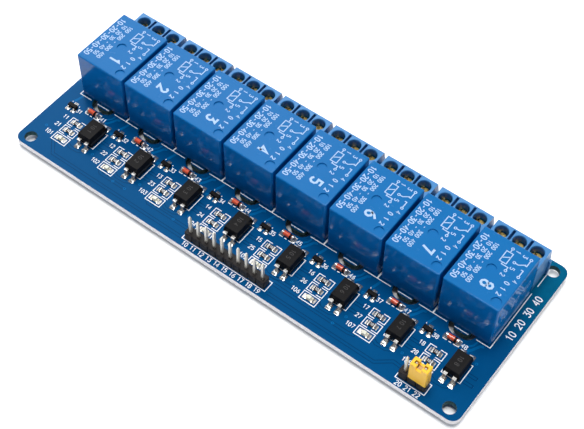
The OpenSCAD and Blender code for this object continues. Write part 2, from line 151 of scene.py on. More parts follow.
panel = bpy.data.objects.new("corner_panel", bpy.data.lights.new("corner_panel", "AREA"))
panel.data.shape = "DISK"
panel.data.size = 0.24
panel.data.energy = 0.25
panel.location = (-0.205, 0.177, 0.25)
panel.rotation_mode = "QUATERNION"
panel.rotation_quaternion = panel.location.to_track_quat("Z", "Y")
bpy.context.scene.collection.objects.link(panel)

world = bpy.data.worlds.new("studio")
world.use_nodes = True
world.node_tree.nodes["Background"].inputs["Color"].default_value = (0.86, 0.9, 1, 1)
world.node_tree.nodes["Background"].inputs["Strength"].default_value = 0.12
bpy.context.scene.world = world
bpy.context.scene.view_settings.view_transform = "Standard"

# %% [markdown]
# ## Shader arithmetic
#
# A finish is easier to read as a formula than as a web of nodes. A Wire stands for one
# output socket. Adding, subtracting, multiplying or dividing wires adds the Math nodes
# that do it, also where a plain number comes first, as in 1 - mask. Everything else goes
# through one method, Finish.node, which takes a node's type, its settings and the values
# or wires of its sockets.

# %% Wires and finishes
class Wire:
    """An output socket, on which arithmetic adds Math nodes."""

    def __init__(self, finish, socket):
        self.finish, self.socket = finish, socket

    def math(self, operation, *values):
        return self.finish.node("Math", {"operation": operation}, dict(enumerate(values)))

    def __add__(self, other):
        return self.math("ADD", self, other)

    def __sub__(self, other):
        return self.math("SUBTRACT", self, other)

    def __rsub__(self, other):
        return self.math("SUBTRACT", other, self)

    def __mul__(self, other):
        return self.math("MULTIPLY", self, other)

    def __truediv__(self, other):
        return self.math("DIVIDE", self, other)

    def __rtruediv__(self, other):
        return self.math("DIVIDE", other, self)

    def __gt__(self, other):
        return self.math("GREATER_THAN", self, other)

    def __lt__(self, other):
        return self.math("LESS_THAN", self, other)

    def __abs__(self):
        return self.math("ABSOLUTE", self)

    def sine(self):
        return self.math("SINE", self)

    def most(self, other):
        return self.math("MAXIMUM", self, other)

    def wrap(self, half):
        """The value brought into the range from -half to half by whole turns."""
        return self.math("WRAP", self, half, -half)

    def ramp(self, low, high):
        """0 up to low, 1 from high on, and even in between."""
        return self.finish.node("MapRange", None, {
            "Value": self, "From Min": low, "From Max": high})

    __radd__, __rmul__ = __add__, __mul__


class Finish:
    """A material in the making: a Principled shader and what feeds it."""

    def __init__(self, name, **constants):
        self.material = bpy.data.materials.new(name)
        self.material.use_nodes = True
        self.tree = self.material.node_tree
        self.shader = self.tree.nodes["Principled BSDF"]
        for socket, value in constants.items():
            self.shader.inputs[socket.replace("_", " ")].default_value = value

    def node(self, kind, settings=None, values=None, output=None):
        """Adds a node: first its settings, then the values or wires of its sockets."""
        made = self.tree.nodes.new("ShaderNode" + kind)
        for name, setting in (settings or {}).items():
            if name == "stops":
                ramp = made.color_ramp.elements
                for at, colour in setting[2:]:
                    ramp.new(at)
                for stop, (at, colour) in zip(ramp, setting):
                    stop.position, stop.color = at, colour
            else:
                setattr(made, name, setting)
        for key, value in (values or {}).items():
            socket = made.inputs[key] if isinstance(key, int) else next(
                s for s in made.inputs if s.name == key and s.enabled)
            if isinstance(value, Wire):
                self.tree.links.new(value.socket, socket)
            else:
                socket.default_value = value
        return Wire(self, next(
            s for s in made.outputs if s.enabled and output in (None, s.name)))

    def place(self):
        """The point on the object, as x, y and z in millimetres."""
        point = self.node("TexCoord", output="Object")
        split = [self.node("SeparateXYZ", values={0: point}, output=axis) for axis in "XYZ"]
        return [wire * 1000 for wire in split]

    def noise(self, per_mm, detail=2.0, stretch=(1, 1, 1)):
        """Soft random patches, from 0 to 1, so many to a millimetre."""
        point = self.node("TexCoord", output="Object")
        scaled = self.node("VectorMath", {"operation": "MULTIPLY"}, {
            0: point, 1: tuple(1000 * per_mm * s for s in stretch)})
        return self.node("TexNoise", None, {
            "Vector": scaled, "Scale": 1.0, "Detail": detail}, "Fac")

    def colour(self, mask, first, second):
        """One colour where the mask is 0, the other where it is 1."""
        return self.node("Mix", {"data_type": "RGBA"}, {
            "Factor": mask, "A": first, "B": second}, "Result")

    def feed(self, **wires):
        for socket, wire in wires.items():
            self.tree.links.new(
                wire.socket, self.shader.inputs[socket.replace("_", " ")])
        return self

    def relief(self, height, depth_mm, strength=1.0):
        """Raises the surface by a height from 0 to 1, so deep."""
        return self.feed(Normal=self.node("Bump", None, {
            "Strength": strength, "Distance": depth_mm * MM, "Height": height}, "Normal"))


def paint(red, green, blue):
    """A colour as a paint chart gives it, 0 to 255, in the linear form that shaders use."""
    def linear(level):
        part = level / 255
        return part / 12.92 if part <= 0.04045 else ((part + 0.055) / 1.055) ** 2.4
    return linear(red), linear(green), linear(blue), 1.0


# %% [markdown]
# The floor is a sheet of matt acrylic. Beside the board it has a faint painted glow,
# which lightens the board's shadow, and none under the board, where the glow would
# shine up through the slots.

# %% Floor
sweep = Finish("pale_sweep", Roughness=0.9, Specular_IOR_Level=0.1, Emission_Strength=0.35)
x, y, z = sweep.place()
# Painted glow beside the board, which lightens its shadow.
shadow_lifting_glow = (abs(x) - board_half.x).most(abs(y) - board_half.y).ramp(-3.0, 0.5)
sweep.feed(
    Base_Color=sweep.colour(sweep.noise(0.05), (0.84, 0.84, 0.84, 1), (0.87, 0.87, 0.87, 1)),
    Emission_Color=sweep.colour(shadow_lifting_glow, (0, 0, 0, 1), (1, 1, 1, 1)))
floor_mesh = bpy.data.meshes.new("floor")
reach, clear = 3.0, 0.00002
floor_mesh.from_pydata(
    [(x, y, cad_box[0].z - clear)
     for x, y in ((-reach, -reach), (reach, -reach), (reach, reach), (-reach, reach))],
    [], [(0, 1, 2, 3)])
floor = bpy.data.objects.new("floor", floor_mesh)
floor.data.materials.append(sweep.material)
bpy.context.scene.collection.objects.link(floor)

# %% [markdown]
# ## Finishes for moulded plastic
#
# Relay covers and terminal housings are injection moulded. Their colour is never quite
# even: the pigment drifts a little with the flow, and the skin carries a very fine
# grain from the tool. Two noises do that. The large one shifts the colour by a few
# percent, the fine one gives the relief and roughens the gloss in patches, where fingers
# and packing have rubbed it.

# %% Moulded plastic
def moulded(name, light, dark, gloss, grain_mm=0.004, **constants):
    """Moulded plastic between two shades, with tool grain and uneven gloss."""
    finish = Finish(name, **constants)
    flow = finish.noise(0.12, 3.0)
    grain = finish.noise(9.0, 2.0)
    wear = finish.noise(0.6, 4.0)
    finish.feed(
        Base_Color=finish.colour(flow * 0.8 + grain * 0.2, dark, light),
        Roughness=gloss + (wear - 0.5) * 0.16 + (grain - 0.5) * 0.08)
    return finish.relief(grain, grain_mm, 0.5)


relay_base = moulded("relay_base", paint(38, 36, 36), paint(26, 25, 25), 0.35)
bobbin = moulded("bobbin_nylon", paint(226, 222, 205), paint(212, 207, 188), 0.45)
moulding_black = moulded("moulding_black", paint(20, 19, 20), paint(14, 13, 14), 0.36, 0.006,
                         Specular_IOR_Level=0.12)
header_black = moulded("header_black", paint(36, 32, 31), paint(26, 23, 23), 0.38, 0.006,
                       Specular_IOR_Level=0.2)
jumper_yellow = moulded("jumper_yellow", paint(255, 204, 40), paint(250, 190, 28), 0.35)

# %% [markdown]
# The relays' covers come from a polished mould, so their sides mirror what stands before
# them. Their tops, which are handled and printed on, have gone satin, and their blue is
# painted a little paler there as a sheen of the light from above.

# %% Relay covers
relay_blue = Finish("relay_blue", Specular_IOR_Level=0.2)
facing = relay_blue.node("SeparateXYZ", None, {
    0: relay_blue.node("NewGeometry", output="Normal")}, "Z")
# Faces that look up are satin, and paler by a painted sheen.
satin_top_and_sheen = facing.ramp(0.5, 0.9)
flow = relay_blue.noise(0.12, 3.0)
grain = relay_blue.noise(9.0, 2.0)
rubbed = relay_blue.noise(0.6, 4.0)
relay_blue.feed(
    Base_Color=relay_blue.colour(
        satin_top_and_sheen, relay_blue.colour(flow, paint(2, 98, 172), paint(8, 108, 184)),
        relay_blue.colour(flow, paint(8, 102, 168), paint(16, 110, 176))),
    Roughness=0.08 + rubbed * 0.08 + satin_top_and_sheen * 0.14)
relay_blue.relief(grain, 0.0015, 0.4)

# %% [markdown]
# The terminal housings are a lighter, milkier blue. Their screwdriver wells are cored by
# polished pins, so the walls are glossy; inside them the blue is darkened to a deep teal
# with depth, as painted shade.
# The wells stand in three columns per channel, so their places come from wrapping x by
# the channel and then by the pole.

# %% Terminal housings
terminal_blue = Finish("terminal_blue")
x, y, z = terminal_blue.place()
pole_step, well_radius = 5.08, 1.84
well_y = middle("terminal_screws").y
block_top = corners("terminal_housing_1")[1].z
column = (x - channel_x[0]).wrap(pitch / 2).wrap(pole_step / 2)
row = y - well_y
inside = (column * column + row * row) < well_radius ** 2
# Painted shade: in a well the colour darkens with depth below the top.
shade = inside * (block_top - z).ramp(0.0, 1.0)
flow = terminal_blue.noise(0.12, 3.0)
grain = terminal_blue.noise(9.0, 2.0)
skin = terminal_blue.colour(flow, paint(58, 126, 184), paint(68, 134, 192))
terminal_blue.feed(
    Base_Color=terminal_blue.colour(shade, skin, paint(20, 104, 166)),
    Roughness=0.36 + (grain - 0.5) * 0.1 - shade * 0.2)
terminal_blue.relief(grain, 0.004, 0.5)

# %% [markdown]
# ## Finishes for metal
#
# Tin, brass and iron differ mostly in colour and in how the surface was made. Rolled and
# drawn parts carry fine lines along the work, so their noise is stretched. Tin on a
# board is never mirror bright: it crystallises in soft patches.

# %% Metals
def metal(name, light, dark, gloss, per_mm=3.0, stretch=(1, 1, 1), relief_mm=0.003,
          bare=1.0):
    """Metal between two shades, with the marks that forming or plating leaves.

    A frosted plating scatters light as paint does: then the metal is less than fully bare.
    """
    finish = Finish(name, Metallic=bare)
    marks = finish.noise(per_mm, 3.0, stretch)
    patches = finish.noise(per_mm * 0.3, 2.0)
    finish.feed(
        Base_Color=finish.colour(patches * 0.7 + marks * 0.3, dark, light),
        Roughness=gloss + (marks - 0.5) * 0.2 + (patches - 0.5) * 0.1)
    return finish.relief(marks, relief_mm, 0.6)


tinned_lead = metal("tinned_lead", paint(232, 230, 226), paint(205, 202, 198), 0.26,
                    bare=0.8)
header_pin = metal("header_pin", paint(242, 239, 230), paint(222, 218, 208), 0.3,
                   4.0, (1, 1, 0.1), bare=0.45)
solder = metal("solder", paint(206, 204, 200), paint(176, 174, 172), 0.24, 2.0, bare=0.85)
terminal_brass = metal("terminal_brass", paint(232, 205, 128), paint(202, 168, 92), 0.3)
contact_bronze = metal("contact_bronze", paint(222, 178, 120), paint(198, 150, 92), 0.3,
                       4.0, (0.15, 1, 1))
relay_iron = metal("relay_iron", paint(196, 197, 200), paint(168, 169, 173), 0.36,
                   3.0, (1, 0.15, 1))
winding_copper = metal("winding_copper", paint(190, 98, 52), paint(150, 66, 32), 0.35)
x, y, z = winding_copper.place()
turns = (z * (2 * math.pi / 0.12)).sine() * 0.5 + 0.5
winding_copper.relief(turns, 0.03)


# %% [markdown]
# ## The laminate
#
# A board is woven glass in resin, under a coat of blue solder mask. From above it is
# glossy blue, with the weave just showing through as a faint check. Its cut edges, and
# the walls of its holes and slots, are bare: pale, with darker plies. One material
# does both: where a face looks up or down it is mask, and where it looks sideways it is
# bare. The routed outline is pale and dusty. The walls of holes and slots are the raw
# greenish glass, painted darker, nearly black, as shade for how deep they lie. The mask
# is a tinted glaze over copper, so its own shine is blue. Towards the rear the mask's
# colour drifts to a greener teal.

# %% Solder mask and cut edge
MASK_SHINE = {"Specular_IOR_Level": 0.5, "Specular_Tint": (0.02, 0.42, 1.0, 1.0)}
laminate = Finish("laminate", **MASK_SHINE)
x, y, z = laminate.place()
weave = (x * 9.0).sine() * (y * 9.0).sine() * 0.5 + 0.5
drift = laminate.noise(0.03, 2.0)
mottle = laminate.noise(0.9, 4.0)
facing = laminate.node("SeparateXYZ", None, {
    0: laminate.node("NewGeometry", output="Normal")}, "Z")
edge = abs(facing) < 0.5
mask_blue = laminate.colour(drift * 0.7 + mottle * 0.22 + weave * 0.08,
                            paint(0, 54, 98), paint(0, 70, 122))
# Towards the rear the mask drifts to a greener teal.
mask_teal = laminate.colour(mottle, paint(0, 76, 108), paint(0, 90, 122))
mask = laminate.colour(y.ramp(-4.0, 16.0), mask_blue, mask_teal)
plies = laminate.noise(1.4, 3.0, (0.4, 0.4, 9.0))
routed = laminate.colour(plies, paint(236, 232, 234), paint(254, 252, 253))
# Painted shade: the walls of holes and slots are darkened nearly to black.
drilled_glass_shaded = laminate.colour(plies, paint(40, 72, 70), paint(78, 112, 106))
outer = (abs(x) > board_half.x - 0.8).most(abs(y) > board_half.y - 0.8)
corner_zone = (abs(x) + abs(y)) > board_half.x + board_half.y - 2.2
laminate.feed(
    Base_Color=laminate.colour(
        edge, mask, laminate.colour(outer.most(corner_zone), drilled_glass_shaded, routed)),
    Roughness=0.26 + drift * 0.1 + edge * 0.4)
laminate.relief(weave * 0.4 + plies * edge, 0.006, 0.3)

# %% [markdown]
# Copper under the mask is what makes tracks visible. On the front part of this board
# nearly all copper stays on, and a track is only parted from it by two etched gaps, which
# look darker. Behind, towards the relays, most copper is etched away, and there a track
# stands out lighter. So two more shades of the same mask are needed.

# %% Mask over bare laminate, and over a track
def mask_shade(name, light, dark):
    """The solder mask in another shade, for what lies under it."""
    shade = Finish(name, **MASK_SHINE)
    patches = shade.noise(0.9, 4.0)
    shade.feed(Base_Color=shade.colour(patches, paint(*dark), paint(*light)),
               Roughness=0.26 + patches * 0.1)
    return shade.relief(patches, 0.003, 0.3)


etched_gap = mask_shade("mask_over_laminate", (0, 42, 84), (0, 34, 72))
track_blue = mask_shade("mask_over_copper", (4, 92, 150), (0, 80, 134))

# %% [markdown]
# White board print is a thick epoxy ink. It is screened on, so its edges are a little
# ragged and its face is matt. The relays' print is thinner and lets some blue through.

# %% Inks
def ink(name, light, dark):
    """A screened ink, patchy where the film is thin."""
    film = Finish(name)
    patches = film.noise(5.0, 3.0)
    return film.feed(Base_Color=film.colour(patches, paint(*dark), paint(*light)),
                     Roughness=0.45 + patches * 0.25).relief(patches, 0.006, 0.5)


board_ink = ink("board_ink", (250, 251, 252), (226, 232, 240))
relay_ink = ink("relay_ink", (186, 208, 236), (150, 186, 226))
stamp_ink = ink("stamp_ink", (92, 146, 198), (58, 116, 176))
etching = ink("laser_etching", (52, 49, 48), (38, 36, 36))

# %% [markdown]
# Small glassy things: the diode's tube, the LED's lens and the resistors' glaze. The
# tube is clear, but copper-red studs fill it from end to end, so it's their colour that
# one sees, under a coat with the gloss of glass.

# %% Glass, resin and glaze
def glassy(name, light, dark, gloss, **constants):
    """A glassy or milky part with a faint unevenness in its gloss."""
    glass = Finish(name, **constants)
    streaks = glass.noise(2.0, 2.0)
    return glass.feed(Base_Color=glass.colour(streaks, paint(*dark), paint(*light)),
                      Roughness=gloss + streaks * 0.04).relief(streaks, 0.002, 0.3)


diode_glass = glassy("diode_glass", (226, 96, 56), (198, 68, 36), 0.3,
                     Coat_Weight=1.0, Coat_Roughness=0.03)
led_lens = glassy("led_lens", (252, 252, 238), (244, 246, 226), 0.1,
                  Transmission_Weight=0.2, IOR=1.5)
led_body = glassy("led_body", (240, 236, 214), (226, 220, 192), 0.35)
resistor_glaze = glassy("resistor_glaze", (58, 48, 42), (40, 34, 30), 0.25)


# %% [markdown]
# ## Mesh tools
#
# Most of the dressing is thin and flat: strokes of ink, copper, pads of solder. A Form
# collects points and faces for one piece and knows four ways to add to itself: a ribbon
# along a path, a flat disc or ring, a turned form, and a patch whose height is a formula.
# Each is closed on all sides, as a paper-thin sheet has no edge for light to catch.

# %% Forms
class Form:
    """A mesh in the making, in millimetres."""

    def __init__(self):
        self.points, self.faces = [], []

    def add(self, points, faces):
        first = len(self.points)
        self.points += [tuple(point) for point in points]
        self.faces += [[first + i for i in face] for face in faces]

    def ribbon(self, path, width, low, high, slope=0.0):
        """A flat strip along a path, mitred at its corners, with sloping sides."""
        path = [Vector(point[:2]) for point in path]
        closed = (path[0] - path[-1]).length < 1e-6
        if closed:
            path = path[:-1]
        n = len(path)
        rings = []
        for i, point in enumerate(path):
            before = path[i - 1] if i or closed else None
            after = path[(i + 1) % n] if i < n - 1 or closed else None
            ways = [(b - a).normalized() for a, b in ((before, point), (point, after))
                    if a is not None and b is not None]
            sides = [Vector((-way.y, way.x)) for way in ways]
            out = sum(sides, Vector((0, 0))).normalized()
            out /= max(0.4, out.dot(sides[0]))
            wide, narrow = out * width / 2, out * (width / 2 - slope)
            rings.append([(*(point - wide), low), (*(point + wide), low),
                          (*(point + narrow), high), (*(point - narrow), high)])
        self.tube(rings, closed)

    def tube(self, rings, closed=False):
        """Joins rings of points one to the next, and caps the two ends."""
        n, k = len(rings), len(rings[0])
        faces = [[a * k + j, a * k + (j + 1) % k, b * k + (j + 1) % k, b * k + j]
                 for a in range(n if closed else n - 1) for b in [(a + 1) % n]
                 for j in range(k)]
        if not closed:
            faces += [list(range(k))[::-1], [(n - 1) * k + j for j in range(k)]]
        self.add([point for ring in rings for point in ring], faces)

    def disc(self, x, y, radius, low, high, hole=0.0, steps=24):
        """A disc, or a ring where it has a hole."""
        def circle(r, z):
            return [(x + r * math.cos(t), y + r * math.sin(t), z)
                    for t in (2 * math.pi * i / steps for i in range(steps))]
        if hole:
            profile = [circle(hole, low), circle(radius, low),
                       circle(radius, high), circle(hole, high)]
            self.tube([list(ring) for ring in zip(*profile)], closed=True)
        else:
            self.tube([circle(radius, low), circle(radius, high)])

    def turned(self, profile, x, y, z, steps=24):
        """A form turned about a line along X, from (distance along, radius) pairs."""
        self.tube([[(x + along, y + r * math.sin(t), z + r * math.cos(t))
                    for t in (2 * math.pi * i / steps for i in range(steps))]
                   for along, r in profile])

    def patch(self, x, y, width, depth, height, steps=8):
        """A pad with rounded corners, whose top is a formula of the place on it."""
        rings = []
        for j in range(steps + 1):
            v = 2 * j / steps - 1
            row = []
            for i in range(steps + 1):
                u = 2 * i / steps - 1
                px = x + u * width / 2 * (1 - 0.07 * v ** 6)
                py = y + v * depth / 2 * (1 - 0.07 * u ** 6)
                row.append((px, py, height(px, py)))
            rings.append(row)
        base = min(point[2] for row in rings for point in row) - 0.02
        rows = [[(row[0][0], row[0][1], base), *row, (row[-1][0], row[-1][1], base)]
                for row in rings]
        self.tube(rows)

    def stood_up(self, x):
        """Stands a flat drawing up on a side face, its X along Y and its Y upwards."""
        self.points = [(x + high, along, up) for along, up, high in self.points]
        return self

    def piece(self, name, finish, slot=None, body="board", crease=35):
        """Makes the piece, and lets it ride on its body."""
        mesh = bpy.data.meshes.new(name)
        mesh.from_pydata([Vector(p) * MM for p in self.points], [], self.faces)
        shape = bmesh.new()
        shape.from_mesh(mesh)
        bmesh.ops.recalc_face_normals(shape, faces=shape.faces)
        shape.to_mesh(mesh)
        shape.free()
        mesh.shade_smooth()
        mesh.set_sharp_from_angle(angle=math.radians(crease))
        mesh.materials.append(finish.material)
        made = bpy.data.objects.new(name, mesh)
        bpy.context.scene.collection.objects.link(made)
        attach(made, body)
        print(f"{name}: {len(self.faces)} faces")


def shifted(path, x, y=0.0):
    """The same path, moved."""
    return [(px + x, py + y) for px, py in path]

# %% [markdown]
# Numbers on boards are drawn with a plotter's single stroke, so a figure is a path and
# not an outline. Each one is drawn on a grid two units wide and four high. Only figures
# and signs are needed: this board carries plain numbers and no words.

# %% Figures
SUNK = 0.005  # how far a film of ink or copper reaches into what it lies on
FIGURES = {
    "0": [[(0, 1), (0, 3), (0.6, 4), (1.4, 4), (2, 3), (2, 1), (1.4, 0), (0.6, 0), (0, 1)]],
    "1": [[(0.3, 3.2), (1.2, 4), (1.2, 0)]],
    "2": [[(0, 3.2), (0.6, 4), (1.4, 4), (2, 3.3), (2, 2.5), (0, 0), (2, 0)]],
    "3": [[(0, 4), (2, 4), (1, 2.4), (1.5, 2.4), (2, 1.8), (2, 0.7), (1.4, 0), (0.6, 0), (0, 0.6)]],
    "4": [[(1.5, 0), (1.5, 4), (0, 1.3), (2, 1.3)]],
    "5": [[(2, 4), (0.1, 4), (0, 2.3), (1.4, 2.4), (2, 1.8), (2, 0.7), (1.4, 0), (0.6, 0),
           (0, 0.5)]],
    "6": [[(1.8, 4), (0.6, 3), (0, 1.8), (0, 0.7), (0.6, 0), (1.4, 0), (2, 0.7), (2, 1.5),
           (1.4, 2.2), (0.6, 2.2), (0, 1.6)]],
    "7": [[(0, 4), (2, 4), (0.7, 0)]],
    "8": [[(0.6, 2.2), (0, 2.8), (0, 3.4), (0.6, 4), (1.4, 4), (2, 3.4), (2, 2.8), (1.4, 2.2),
           (0.6, 2.2), (0, 1.5), (0, 0.7), (0.6, 0), (1.4, 0), (2, 0.7), (2, 1.5), (1.4, 2.2)]],
    "9": [[(0.2, 0), (1.4, 1), (2, 2.2), (2, 3.3), (1.4, 4), (0.6, 4), (0, 3.3), (0, 2.5),
           (0.6, 1.8), (1.4, 1.8), (2, 2.4)]],
    "+": [[(0.2, 2), (1.8, 2)], [(1, 1.2), (1, 2.8)]],
    "-": [[(0.2, 2), (1.8, 2)]],
}


def number(form, text, x, y, height, stroke, low, high, turn=0):
    """Draws a number about its middle, turned by so many degrees."""
    scale = height / 4
    advance = 3.1
    width = advance * len(text) - 1.1
    c, s = math.cos(math.radians(turn)), math.sin(math.radians(turn))
    for k, figure in enumerate(text):
        for path in FIGURES.get(figure, []):
            drawn = [((px + k * advance - width / 2) * scale, (py - 2) * scale) for px, py in path]
            form.ribbon([(x + c * px - s * py, y + s * px + c * py) for px, py in drawn],
                        stroke, low, high)


# %% [markdown]
# ## Board print
#
# The print tells whoever fills the board where each part goes: an outline round every
# part, with gaps where pads and slots are, and a number beside it. On this board the
# numbers are plain, and the outlines are worked out from the parts they frame. The eight
# channels are alike, so one list of strokes is drawn eight times.

# %% Board print for the channels
INK_LOW, INK_HIGH = top - SUNK, top + 0.02
LINE = 0.22


def one_of(node):
    """One channel's share of the box of a solid that serves all, about its centre line."""
    low, high = corners(node)
    return low - Vector((channel_x[0], 0, 0)), high - Vector((channel_x[-1], 0, 0))


def outline(low, high, margin_x, margin_y):
    """Left, right, front and back of a frame round a box."""
    return low.x - margin_x, high.x + margin_x, low.y - margin_y, high.y + margin_y


to_first = Vector((channel_x[0], 0, 0))
relay_low, relay_high = (corner - to_first for corner in corners("relay_case_1"))
block_low, block_high = (corner - to_first for corner in corners("terminal_housing_1"))
SLOT_LEG, SLOT_ROOM = 3.1, 1.05

strokes = []
left, right_side, front, rear = outline(relay_low, relay_high, 0.35, 0.55)
strokes += [[(left, rear - 0.6), (left, front), (-SLOT_LEG - SLOT_ROOM, front)],
            [(SLOT_ROOM - SLOT_LEG, front), (SLOT_LEG - SLOT_ROOM, front)],
            [(SLOT_LEG + SLOT_ROOM, front), (right_side, front), (right_side, rear - 0.6)]]

left, right_side, front, rear = outline(block_low, block_high, 0.03, 0.35)
strokes += [[(left, front + 2.5), (left, rear), (right_side, rear), (right_side, front + 2.5)]]

diode_low, diode_high = one_of("diode_glass")
cap_low, cap_high = one_of("diode_caps")
left, right_side, front, rear = outline(cap_low, cap_high, 0.4, 0.15)
strokes += [[(left + 1.05, front), (left, front), (left, rear), (left + 1.05, rear)],
            [(right_side - 1.4, front), (right_side, front), (right_side, rear),
             (right_side - 1.4, rear)],
            [(left + 1.6, rear), (right_side - 2.0, rear)],
            [(left + 1.6, front), (right_side - 2.0, front)]]
diode_mark = (right_side + 1.2, (front + rear) / 2 + 0.1)

chip_low, chip_high = one_of("resistor_terminations")
chip_depth = 1.25
resistor_rows = (chip_high.y - chip_depth / 2, chip_low.y + chip_depth / 2)
left, right_side = chip_low.x - 1.3, chip_high.x + 1.4
gap_left, gap_right = (left + right_side) / 2 - 0.6, (left + right_side) / 2 + 0.6
for row in resistor_rows:
    front, rear = row - 1.25, row + 1.28
    strokes += [[(gap_left, rear), (left, rear), (left, front), (gap_left, front)],
                [(gap_right, rear), (right_side, rear), (right_side, front), (gap_right, front)]]
resistor_marks = [(left - 1.8, row + 0.3) for row in resistor_rows]

led_low, led_high = one_of("led_bodies")
led_x, led_y = (led_low.x + led_high.x) / 2, (led_low.y + led_high.y) / 2
strokes += [[(led_x - 2.35, led_y - 1.3), (led_x - 2.35, led_y + 1.3), (led_x + 2.35, led_y + 1.3),
             (led_x + 2.35, led_y - 1.3), (led_x - 2.35, led_y - 1.3)]]
led_mark = (led_x - 4.3, led_y + 0.1)

opto_low, opto_high = one_of("optocoupler_bodies")
left, right_side, front, rear = outline(opto_low, opto_high, 0.32, -0.55)
strokes += [[(left, front + 4.3), (left, front - 0.25), (right_side, front - 0.25),
             (right_side, rear + 0.2), (right_side - 1.3, rear + 0.2)]]

tran_low, tran_high = one_of("transistor_bodies")
tran_x, tran_y = (tran_low.x + tran_high.x) / 2, (tran_low.y + tran_high.y) / 2
strokes += [[(tran_x - 1.35, tran_y + 1.35), (tran_x - 1.35, tran_y + 1.65)],
            [(tran_x + 1.4, tran_y + 0.9), (tran_x + 1.4, tran_y + 1.2)]]
tran_mark = (tran_x + 2.4, tran_y - 0.2)

channel_print = Form()
for i, centre in zip(CHANNELS, channel_x):
    for stroke in strokes:
        channel_print.ribbon(shifted(stroke, centre), LINE, INK_LOW, INK_HIGH)
    marks = [(str(10 + i), resistor_marks[0]), (str(20 + i), resistor_marks[1]),
             (str(100 + i), led_mark), (str(30 + i), tran_mark), (str(40 + i), diode_mark)]
    for text, (mark_x, mark_y) in marks:
        number(channel_print, text, centre + mark_x, mark_y, 1.12, 0.18, INK_LOW, INK_HIGH)
channel_print.piece("board_print_channels", board_ink)

# %% [markdown]
# The two headers get a frame each, and a plain number beside every pin, so that a wire
# can be counted in. The input header counts from 10, the supply header from 20. Every
# terminal block has its three ways numbered along the rear edge, and a large row of tens
# fills the margin beside the last relay.

# %% Board print for the headers and the screw terminals
HEADERS = {"input_header_strip": 10, "power_header_strip": 3}


def pins_of(strip):
    """The places of a header's pins, evenly along its strip."""
    low, high = corners(strip)
    step = (high.x - low.x) / HEADERS[strip]
    return [(low.x + (k + 0.5) * step, (low.y + high.y) / 2) for k in range(HEADERS[strip])]


edge_print = Form()
for strip, first, margins in (("input_header_strip", 10, (0.5, 0.3)),
                              ("power_header_strip", 20, (0.3, 0.4))):
    left, right_side, front, rear = outline(*corners(strip), *margins)
    edge_print.ribbon([(left, front), (right_side, front), (right_side, rear), (left, rear),
                       (left, front)], LINE, INK_LOW, INK_HIGH)
    for k, (x, y) in enumerate(pins_of(strip)):
        number(edge_print, str(first + k), x, front - 1.0, 1.2, 0.19, INK_LOW, INK_HIGH)
for centre in channel_x:
    for k in (-1, 0, 1):
        number(edge_print, str(k + 2), centre + pole_step * k, block_high.y + 1.3, 1.2, 0.2,
               INK_LOW, INK_HIGH)
margin = (channel_x[-1] + relay_high.x + board_high.x) / 2 + 0.2
number(edge_print, "10 20 30 40", margin, 7.6, 1.8, 0.27, INK_LOW, INK_HIGH, 90)
edge_print.piece("board_print_headers", board_ink)


# %% [markdown]
# ## Copper under the mask
#
# On the front half of the board nearly all copper is left on as one sheet. A track in it
# is an island between two etched gaps, so each track is drawn as two thin dark lines.
# They are a few hundredths of a millimetre proud here, where the real gaps lie that much
# low, because a raised line is simpler and its height can't be seen. Tracks run from
# every indicator to the input header, in lanes in front of and behind its pins.

# %% Tracks on the front half
GAP_LOW, GAP_HIGH = top - SUNK, top + 0.008
GAP, TRACK = 0.2, 0.42


def beside(path, off):
    """The path moved sideways, with its corners kept sharp."""
    path = [Vector(point) for point in path]
    moved = []
    for i, point in enumerate(path):
        ways = [(b - a).normalized() for a, b in zip(
            path[max(i - 1, 0):i + 1], path[max(i, 1):i + 2]) if (b - a).length]
        sides = [Vector((-way.y, way.x)) for way in ways]
        out = sum(sides, Vector((0, 0))).normalized()
        moved.append(point + out * off / max(0.4, out.dot(sides[0])))
    return moved


def track(form, path, closed_end=True):
    """Two etched gaps along a track, joined round its end."""
    first, second = beside(path, TRACK), beside(path, -TRACK)
    if closed_end:
        form.ribbon([*first, *reversed(second)], GAP, GAP_LOW, GAP_HIGH)
    else:
        form.ribbon(first, GAP, GAP_LOW, GAP_HIGH)
        form.ribbon(second, GAP, GAP_LOW, GAP_HIGH)


strip_low, strip_high = corners("input_header_strip")
supply_low, supply_high = corners("power_header_strip")
front_lane, back_lane = strip_low.y - 0.2, strip_high.y + 0.2
led_pad_left = led_x - 1.9
lands = [x + led_pad_left for x in channel_x]
lane_ends = (strip_low.x - 0.8, strip_high.x + 0.8)

gaps = Form()
track(gaps, [(lands[0] + 0.4, led_y - 1.2), (lands[0] + 3.6, front_lane),
             (lane_ends[0], front_lane)])
track(gaps, [(lands[1] + 0.4, led_y - 1.3), (lands[1] + 1.6, back_lane - 0.2),
             (lands[1] + 9.8, back_lane - 0.2)])
track(gaps, [(lands[2] + 0.4, led_y - 1.3), (lands[2] + 1.2, back_lane), (lane_ends[0], back_lane)])
track(gaps, [(lane_ends[1] - 2.4, led_y - 0.2), (lands[5] + 3.5, led_y - 0.2),
             (lands[5] + 4.8, led_y + 0.6)])
track(gaps, [(lane_ends[1], back_lane), (lands[6] - 1.6, back_lane - 0.2),
             (lands[6] + 0.3, back_lane + 0.2)])
track(gaps, [(lane_ends[1] + 0.6, front_lane), (supply_low.x - 6.6, front_lane),
             (supply_low.x - 2.9, supply_high.y + 0.2), (supply_low.x - 0.6, supply_high.y)])
for x in channel_x:
    arc = [(0.5, led_y + 0.3), (2.1, led_y - 0.5), (4.7, led_y - 0.4), (6.3, led_y + 0.4)]
    track(gaps, shifted(arc, x))
    rails = [(resistor_rows[0] - 0.35, 7.7), (resistor_rows[1] + 0.5, 7.9)]
    for rail_y, start in rails:
        track(gaps, [(x + start, rail_y), (x + pitch - 5.6, rail_y)] if x < channel_x[-1]
              else [(x + start, rail_y), (x + start + 2.5, rail_y)])
gaps.piece("etched_gaps_top", etched_gap)

# %% [markdown]
# Behind the pour the laminate shows through the mask as a darker blue, and single tracks
# stand out lighter on it: one from each transistor to its coil, one from the supply.

